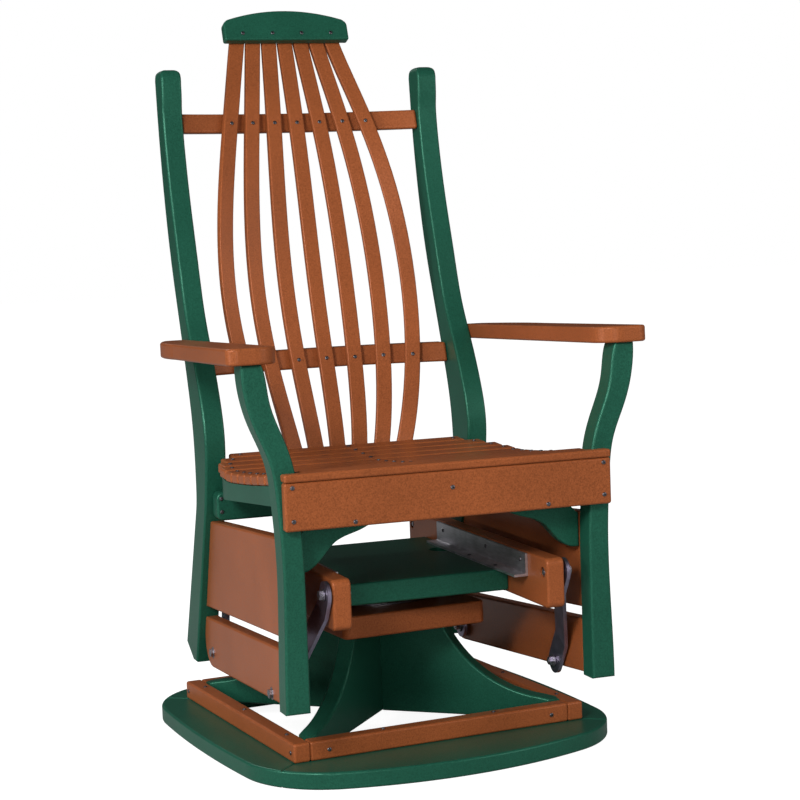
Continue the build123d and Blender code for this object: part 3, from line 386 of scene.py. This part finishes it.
def screw_places(node):
    """Head middle and outward direction of every screw in a CAD node."""
    copy = bmesh.new()
    copy.from_mesh(frame["nodes"][node].data)
    bmesh.ops.remove_doubles(copy, verts=copy.verts, dist=WELD_DISTANCE)
    places = []
    seen = set()
    for start in copy.verts:
        if start in seen:
            continue
        island, stack = [], [start]
        seen.add(start)
        while stack:
            vert = stack.pop()
            island.append(vert.co.copy())
            for edge in vert.link_edges:
                other = edge.other_vert(vert)
                if other not in seen:
                    seen.add(other)
                    stack.append(other)
        middle = sum(island, Vector()) / len(island)
        tip = max(island, key=lambda p: (p - middle).length)
        far_head = max(island, key=lambda p: (p - tip).length)
        rough_axis = (far_head - tip).normalized()
        low = [p for p in island if (p - tip).dot(rough_axis) < TIP_ZONE]
        reach = max((p - tip).dot(rough_axis) for p in island)
        high = [p for p in island if (p - tip).dot(rough_axis) > reach - HEAD_ZONE]
        centre = [sum(group, Vector()) / len(group) for group in (low, high)]
        widths = [max((p - c).length for p in group) for group, c in zip((low, high), centre)]
        if widths[0] > widths[1]:
            centre.reverse()
        axis = (centre[1] - centre[0]).normalized()
        top = max((p - centre[0]).dot(axis) for p in island)
        places.append((centre[0] + axis * (top - HEAD_DEPTH), axis))
    copy.free()
    return places


def screw_tree():
    """Geometry Nodes tree that stands a screw on every point, along the point's direction."""
    tree = bpy.data.node_groups.new("screws_on_points", "GeometryNodeTree")
    face = tree.interface
    face.new_socket("Geometry", in_out="INPUT", socket_type="NodeSocketGeometry")
    face.new_socket("Screw", in_out="INPUT", socket_type="NodeSocketObject")
    face.new_socket("Size", in_out="INPUT", socket_type="NodeSocketFloat").default_value = 1.0
    face.new_socket("Turn", in_out="INPUT", socket_type="NodeSocketFloat").default_value = 1.0
    face.new_socket("Metal", in_out="INPUT", socket_type="NodeSocketMaterial")
    face.new_socket("Recess", in_out="INPUT", socket_type="NodeSocketMaterial")
    face.new_socket("Geometry", in_out="OUTPUT", socket_type="NodeSocketGeometry")
    given = add_node(tree, "NodeGroupInput").outputs
    points = add_node(tree, "GeometryNodeMeshToPoints", inputs={"Mesh": given["Geometry"]})
    facing = add_node(tree, "GeometryNodeInputNamedAttribute", {"data_type": "FLOAT_VECTOR"},
                      {"Name": "facing"})
    stand = add_node(tree, "FunctionNodeAlignRotationToVector", {"axis": "Z"},
                     {"Vector": facing.outputs[0]})
    # Screws are driven home at any angle, so each recess is turned by its own amount
    chance = add_node(tree, "FunctionNodeRandomValue", {"data_type": "FLOAT"},
                      {"Seed": TURN_SEED})
    turn = add_node(tree, "ShaderNodeMath", {"operation": "MULTIPLY"},
                    {0: chance.outputs[RANDOM_FLOAT], 1: given["Turn"]})
    spin = add_node(tree, "FunctionNodeAxisAngleToRotation", inputs={
        "Axis": (0, 0, 1), "Angle": turn.outputs[0]})
    rotate = add_node(tree, "FunctionNodeRotateRotation", {"rotation_space": "LOCAL"},
                      {"Rotation": stand.outputs[0], "Rotate By": spin.outputs[0]})
    pattern = add_node(tree, "GeometryNodeObjectInfo", inputs={"Object": given["Screw"]})
    screws = add_node(tree, "GeometryNodeInstanceOnPoints", inputs={
        "Points": points.outputs[0], "Instance": pattern.outputs["Geometry"],
        "Rotation": rotate.outputs[0], "Scale": given["Size"]})
    real = add_node(tree, "GeometryNodeRealizeInstances", inputs={"Geometry": screws.outputs[0]})
    index = add_node(tree, "GeometryNodeInputMaterialIndex")
    deep = add_node(tree, "FunctionNodeCompare", {"data_type": "INT", "operation": "EQUAL"},
                    {COMPARE_FIRST_INTEGER: index.outputs[0],
                     COMPARE_SECOND_INTEGER: DRIVE_MATERIAL})
    metal = add_node(tree, "GeometryNodeSetMaterial", inputs={
        "Geometry": real.outputs[0], "Material": given["Metal"]})
    # The drive faces take the recess colour, a painted shade
    painted_drive_shade = add_node(tree, "GeometryNodeSetMaterial", inputs={
        "Geometry": metal.outputs[0], "Selection": deep.outputs[0], "Material": given["Recess"]})
    add_node(tree, "NodeGroupOutput", inputs={"Geometry": painted_drive_shade.outputs[0]})
    return tree


def point_cloud(name, places):
    """Mesh of loose points with their directions."""
    mesh = bpy.data.meshes.new(name)
    mesh.from_pydata([tuple(place) for place, _ in places], [], [])
    layer = mesh.attributes.new("facing", "FLOAT_VECTOR", "POINT")
    for item, (_, axis) in zip(layer.data, places):
        item.vector = axis
    cloud = bpy.data.objects.new(name, mesh)
    bpy.context.scene.collection.objects.link(cloud)
    return cloud


def input_named(tree, name):
    """Identifier of a tree's input socket."""
    for item in tree.interface.items_tree:
        if item.in_out == "INPUT" and item.name == name:
            return item.identifier
    raise RuntimeError("the tree has no input named " + name)


def drive_screws(name, node, tree, pattern, metal, recess):
    """Screws at the places of a CAD node, as one plain mesh that stands for it."""
    cloud = point_cloud(name + "_points", screw_places(node))
    modifier = cloud.modifiers.new("screws", "NODES")
    modifier.node_group = tree
    for key, value in (("Screw", pattern), ("Size", 1.0), ("Turn", FURTHEST_TURN),
                       ("Metal", metal), ("Recess", recess)):
        modifier[input_named(tree, key)] = value
    ready = cloud.evaluated_get(bpy.context.evaluated_depsgraph_get())
    mesh = bpy.data.meshes.new_from_object(ready)
    mesh.name = name
    cloud.modifiers.remove(modifier)
    bpy.data.objects.remove(cloud)
    screws = bpy.data.objects.new(name, mesh)
    bpy.context.scene.collection.objects.link(screws)
    body = frame["nodes"][node]["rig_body"]
    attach(screws, body)
    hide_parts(node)
    return screws


# Operators

class GliderChairGreenBoards(bpy.types.Operator):
    """Give the green boards their plastic lumber finish"""
    bl_idname = "glider_chair.green_boards"
    bl_label = "Green Boards"

    def execute(self, context):
        look = look_of(context)
        # Green polyethylene lumber, planed: deep satin green that lights up along rounded edges
        coat(nodes_of("green_board"), plastic_lumber("green_polyethylene_lumber", look.green, look))
        return {"FINISHED"}


class GliderChairCedarBoards(bpy.types.Operator):
    """Give the brown boards their plastic lumber finish"""
    bl_idname = "glider_chair.cedar_boards"
    bl_label = "Cedar Boards"

    def execute(self, context):
        look = look_of(context)
        # Cedar-brown polyethylene lumber, planed: warm satin brown with darker flecks
        coat(nodes_of("cedar_board"), plastic_lumber("cedar_polyethylene_lumber", look.cedar, look))
        return {"FINISHED"}


class GliderChairMetalwork(bpy.types.Operator):
    """Give arms, angles, bushings, bearing and pivot bolts their metals"""
    bl_idname = "glider_chair.metalwork"
    bl_label = "Metalwork"

    def execute(self, context):
        look = look_of(context)
        # Stainless flat bar, rolled and polished: soft gloss, faint streaks downwards; the grey is the
        # steel's own, and the purple tinge of its colour is a painted reflection
        coat(nodes_of("arm_steel"),
             brushed_metal("polished_stainless_bar", look.arm_steel, 0.4, (1, 1, 0.08), 1.2))
        # Extruded aluminium angle, mill finish: pale, with die streaks from front to back
        coat(nodes_of("aluminium_angle"),
             brushed_metal("mill_aluminium_angle", look.aluminium, 0.44, (1, 0.04, 1), 0.9))
        # Zinc-plated pressed steel of the swivel bearing: soft grey gloss
        coat(nodes_of("bearing_steel"),
             brushed_metal("zinc_plated_steel", look.stainless, 0.34, (1, 1, 1), 2.0))
        coat(nodes_of("bushing_plastic"), moulded_nylon("moulded_nylon", linear("#1b1a1c")))
        # Turned stainless bolts and nuts: fine lathe marks, medium gloss
        bolts = [node for node in nodes_of("fastener_steel") if "bolts" in node]
        coat(bolts, brushed_metal("turned_stainless_bolt", shade(look.stainless, 2.2), 0.4,
                                  (0.1, 1, 1), 0.8))
        return {"FINISHED"}


class GliderChairScrews(bpy.types.Operator):
    """Drive every screw with its recess, by Geometry Nodes"""
    bl_idname = "glider_chair.screws"
    bl_label = "Screws"

    def execute(self, context):
        look = look_of(context)
        # Stainless deck screws, pressed: dull grey heads; the near-black in their square drives is
        # painted shade, since the drives are the same stainless as the heads
        metal = brushed_metal("pressed_stainless_screw", look.stainless, 0.38, (1, 1, 1), 0.6)
        recess = brushed_metal("screw_drive_shadow", look.recess, 0.6, (1, 1, 1), 0.6)
        tree = screw_tree()
        pattern = bpy.data.objects.new("screw_pattern", screw_pattern(look))
        pattern.data.materials.append(metal)
        pattern.data.materials.append(recess)
        context.scene.collection.objects.link(pattern)
        for name, node in (("base_screw_heads", "base_screws"), ("frame_screw_heads", "frame_screws"),
                           ("seat_screw_heads", "seat_screws")):
            drive_screws(name, node, tree, pattern, metal, recess)
        bpy.data.objects.remove(pattern)
        return {"FINISHED"}


def area_lamp(name, place, aim, size, power):
    """A soft square lamp that points at a spot."""
    lamp = bpy.data.lights.new(name, "AREA")
    lamp.shape = "SQUARE"
    lamp.size = size
    lamp.energy = power
    holder = bpy.data.objects.new(name, lamp)
    holder.location = place
    holder.rotation_euler = (Vector(aim) - Vector(place)).to_track_quat("-Z", "Y").to_euler()
    bpy.context.scene.collection.objects.link(holder)
    return holder


def white_for_camera(tree, surface, strength):
    """A shader that camera rays see lifted towards white."""
    seen = add_node(tree, "ShaderNodeLightPath").outputs["Is Camera Ray"]
    glow = add_node(tree, "ShaderNodeEmission", inputs={"Color": WHITE, "Strength": strength})
    lifted = add_node(tree, "ShaderNodeAddShader", inputs={0: surface, 1: glow.outputs[0]})
    return add_node(tree, "ShaderNodeMixShader", inputs={
        0: seen, 1: surface, 2: lifted.outputs[0]}).outputs[0]


class GliderChairStage(bpy.types.Operator):
    """Set the pale floor, the soft lamps and the camera"""
    bl_idname = "glider_chair.stage"
    bl_label = "Stage"

    def execute(self, context):
        look = look_of(context)
        scene = context.scene
        half = look.floor_size / 2
        mesh = bpy.data.meshes.new("floor")
        corners = [(-half, -half), (half, -half), (half, half), (-half, half)]
        mesh.from_pydata([(x, y, FLOOR_Z) for x, y in corners], [], [(0, 1, 2, 3)])
        floor = bpy.data.objects.new("floor", mesh)
        scene.collection.objects.link(floor)
        material = bpy.data.materials.new("white_paper_sweep")
        material.use_nodes = True
        tree = material.node_tree
        tree.nodes.clear()
        paper = add_node(tree, "ShaderNodeBsdfDiffuse", inputs={"Color": PAPER_GREY})
        surface = white_for_camera(tree, paper.outputs[0], PAPER_GLOW)
        add_node(tree, "ShaderNodeOutputMaterial", inputs={"Surface": surface})
        mesh.materials.append(material)
        world = bpy.data.worlds.new("soft_studio")
        scene.world = world
        world.use_nodes = True
        tree = world.node_tree
        tree.nodes.clear()
        path = add_node(tree, "ShaderNodeLightPath").outputs
        seen = add_node(tree, "ShaderNodeMath", {"operation": "MAXIMUM"},
                        {0: path["Is Camera Ray"], 1: path["Is Transmission Ray"]}).outputs[0]
        # The dark studio beyond the lamps shows in gloss less than it lights the boards
        room = add_node(tree, "ShaderNodeMapRange", inputs={
            "Value": path["Is Glossy Ray"], "To Min": ROOM_LIGHT,
            "To Max": ROOM_LIGHT_IN_GLOSS}).outputs[0]
        strength = add_node(tree, "ShaderNodeMath", {"operation": "MAXIMUM"},
                            {0: seen, 1: room}).outputs[0]
        sky = add_node(tree, "ShaderNodeBackground", inputs={
            "Color": WHITE, "Strength": strength})
        add_node(tree, "ShaderNodeOutputWorld", inputs={"Surface": sky.outputs[0]})
        aim = CHAIR_MIDDLE
        area_lamp("key_lamp", (-2.5, -2.8, 2.3), aim, 0.9, 106)
        area_lamp("fill_lamp", (2.6, -2.6, 1.6), aim, 1.6, 28)
        area_lamp("low_lamp", (-0.6, -3.4, 0.9), (0, -0.1, 0.28), 0.5, 11)
        area_lamp("side_lamp", (-3.2, -0.9, 1.3), aim, 1.0, 46)
        area_lamp("rim_lamp", (-1.0, 2.8, 3.0), aim, 0.4, 16)
        lens = bpy.data.cameras.new("photo_camera")
        lens.lens = CAMERA_LENS
        lens.sensor_width = CAMERA_SENSOR
        lens.clip_end = CAMERA_REACH
        camera = bpy.data.objects.new("photo_camera", lens)
        camera.location = CAMERA_PLACE
        camera.rotation_euler = [math.radians(angle) for angle in CAMERA_TURN_DEGREES]
        scene.collection.objects.link(camera)
        scene.camera = camera
        scene.view_settings.view_transform = "Standard"
        return {"FINISHED"}


class GliderChairPanel(bpy.types.Panel):
    """Lists the steps that dress the chair"""
    bl_idname = "VIEW3D_PT_glider_chair"
    bl_label = "Glider Chair"
    bl_space_type = "VIEW_3D"
    bl_region_type = "UI"
    bl_category = "Glider Chair"

    def draw(self, context):
        look = look_of(context)
        for name in ("green", "cedar", "arm_steel", "aluminium", "stainless", "recess",
                     "peel_size", "tone_size", "board_roughness", "screw_radius", "screw_dome",
                     "screw_sides", "floor_size"):
            self.layout.prop(look, name)
        for step in STEPS:
            self.layout.operator(step.bl_idname)


STEPS = (GliderChairGreenBoards, GliderChairCedarBoards, GliderChairMetalwork, GliderChairScrews,
         GliderChairStage)


def register():
    """Add the settings, the steps and the panel."""
    bpy.utils.register_class(GliderChairLook)
    for step in STEPS:
        bpy.utils.register_class(step)
    bpy.utils.register_class(GliderChairPanel)
    bpy.types.Scene.glider_chair_look = PointerProperty(type=GliderChairLook)


def unregister():
    """Take the settings, the steps and the panel away."""
    del bpy.types.Scene.glider_chair_look
    bpy.utils.unregister_class(GliderChairPanel)
    for step in reversed(STEPS):
        bpy.utils.unregister_class(step)
    bpy.utils.unregister_class(GliderChairLook)


def main():
    """Dress the chair and set the stage."""
    register()
    bpy.ops.glider_chair.green_boards()
    bpy.ops.glider_chair.cedar_boards()
    bpy.ops.glider_chair.metalwork()
    bpy.ops.glider_chair.screws()
    bpy.ops.glider_chair.stage()


if __name__ == "__main__":
    main()
